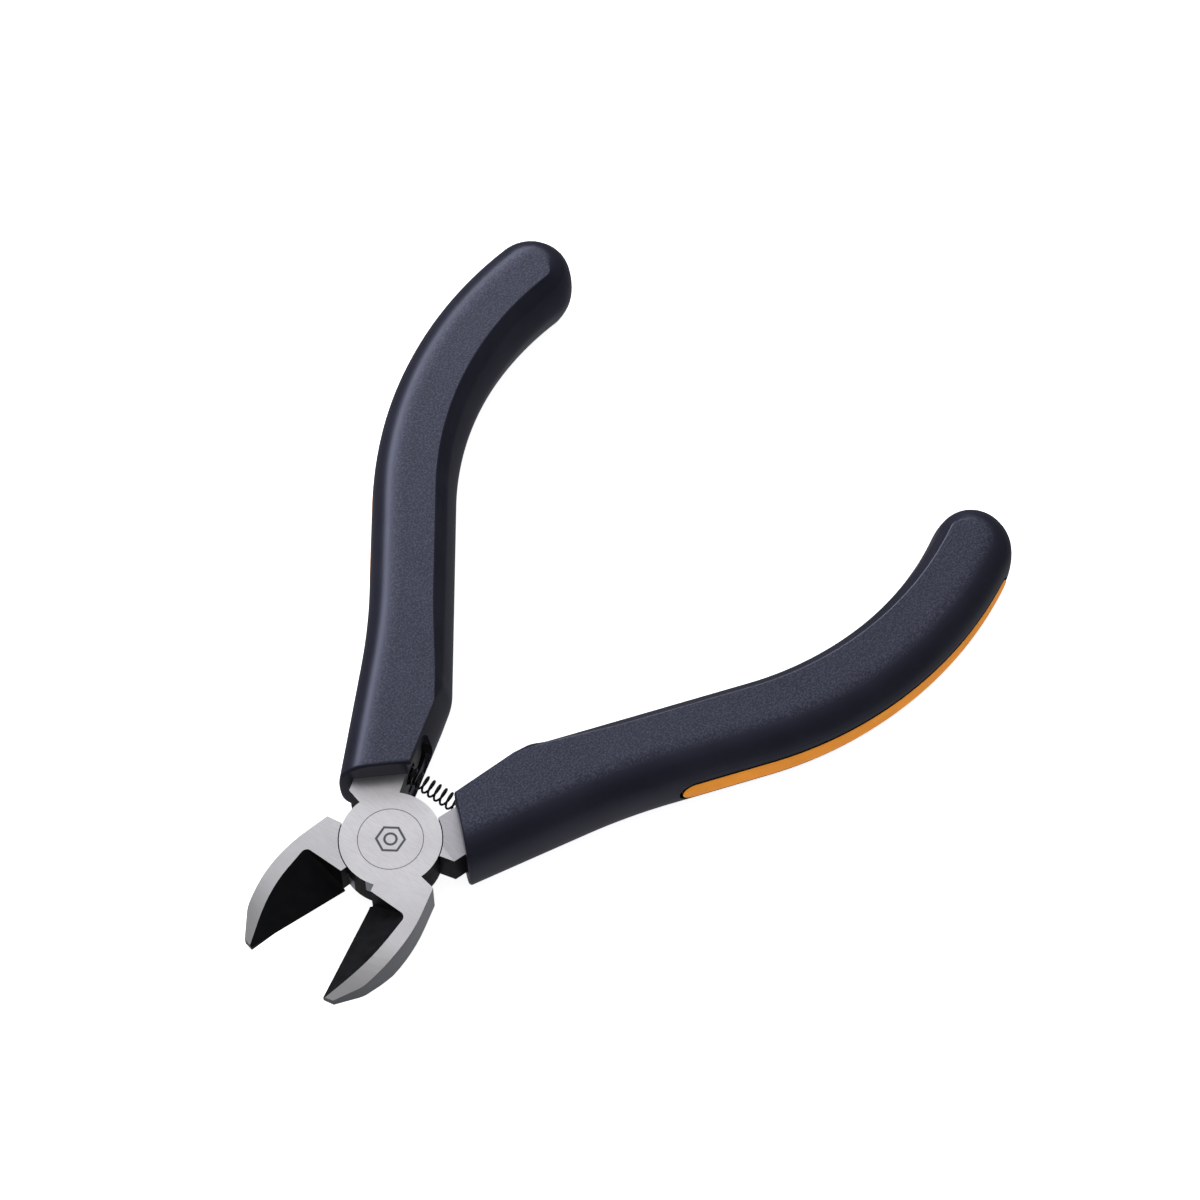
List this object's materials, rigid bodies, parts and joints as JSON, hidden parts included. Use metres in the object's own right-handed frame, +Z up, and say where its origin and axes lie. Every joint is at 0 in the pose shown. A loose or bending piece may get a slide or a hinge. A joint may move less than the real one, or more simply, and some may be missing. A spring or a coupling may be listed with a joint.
{
  "type": "flush cutter",
  "caption": "Small lap-joint diagonal flush cutter with ground bevelled jaws, a flush rivet, a coil return spring and soft grips with bright inlays.",
  "frame": {"origin": "middle of the tool's base rectangle at rest, on the surface that the grips' lower flats lie on", "axes": "+X along the tool's middle line towards the jaw tips, +Z up, square to the flat sides of the joint"},
  "size_m": [0.1168, 0.0948, 0.0136],
  "materials": {
    "forged_steel": "finely brushed steel faces, with black oxide left on the ground recesses",
    "rivet_steel": "flush rivet faces ground with the steel",
    "spring_steel": "black oxide spring wire",
    "grip_skin": "dark soft-touch skin, fine grained on its flats and satin round its sides",
    "grip_inlay": "satin orange plastic"
  },
  "bodies": {
    "lower_arm": {"lower_half": "forged_steel", "lower_grip": "grip_skin", "lower_inlay": "grip_inlay", "pivot_rivet": "rivet_steel", "return_spring": "spring_steel"},
    "upper_arm": {"upper_half": "forged_steel", "upper_grip": "grip_skin", "upper_inlay": "grip_inlay"}
  },
  "joints": [
    {"name": "pivot", "type": "hinge", "parent": "lower_arm", "child": "upper_arm", "pos_m": [0.03476, 0, 0.00682], "axis": [0, 0, -1], "range_deg": [0, 29.8], "stiffness_Nm_per_rad": 0.06, "deforming": ["return_spring"]}
  ]
}
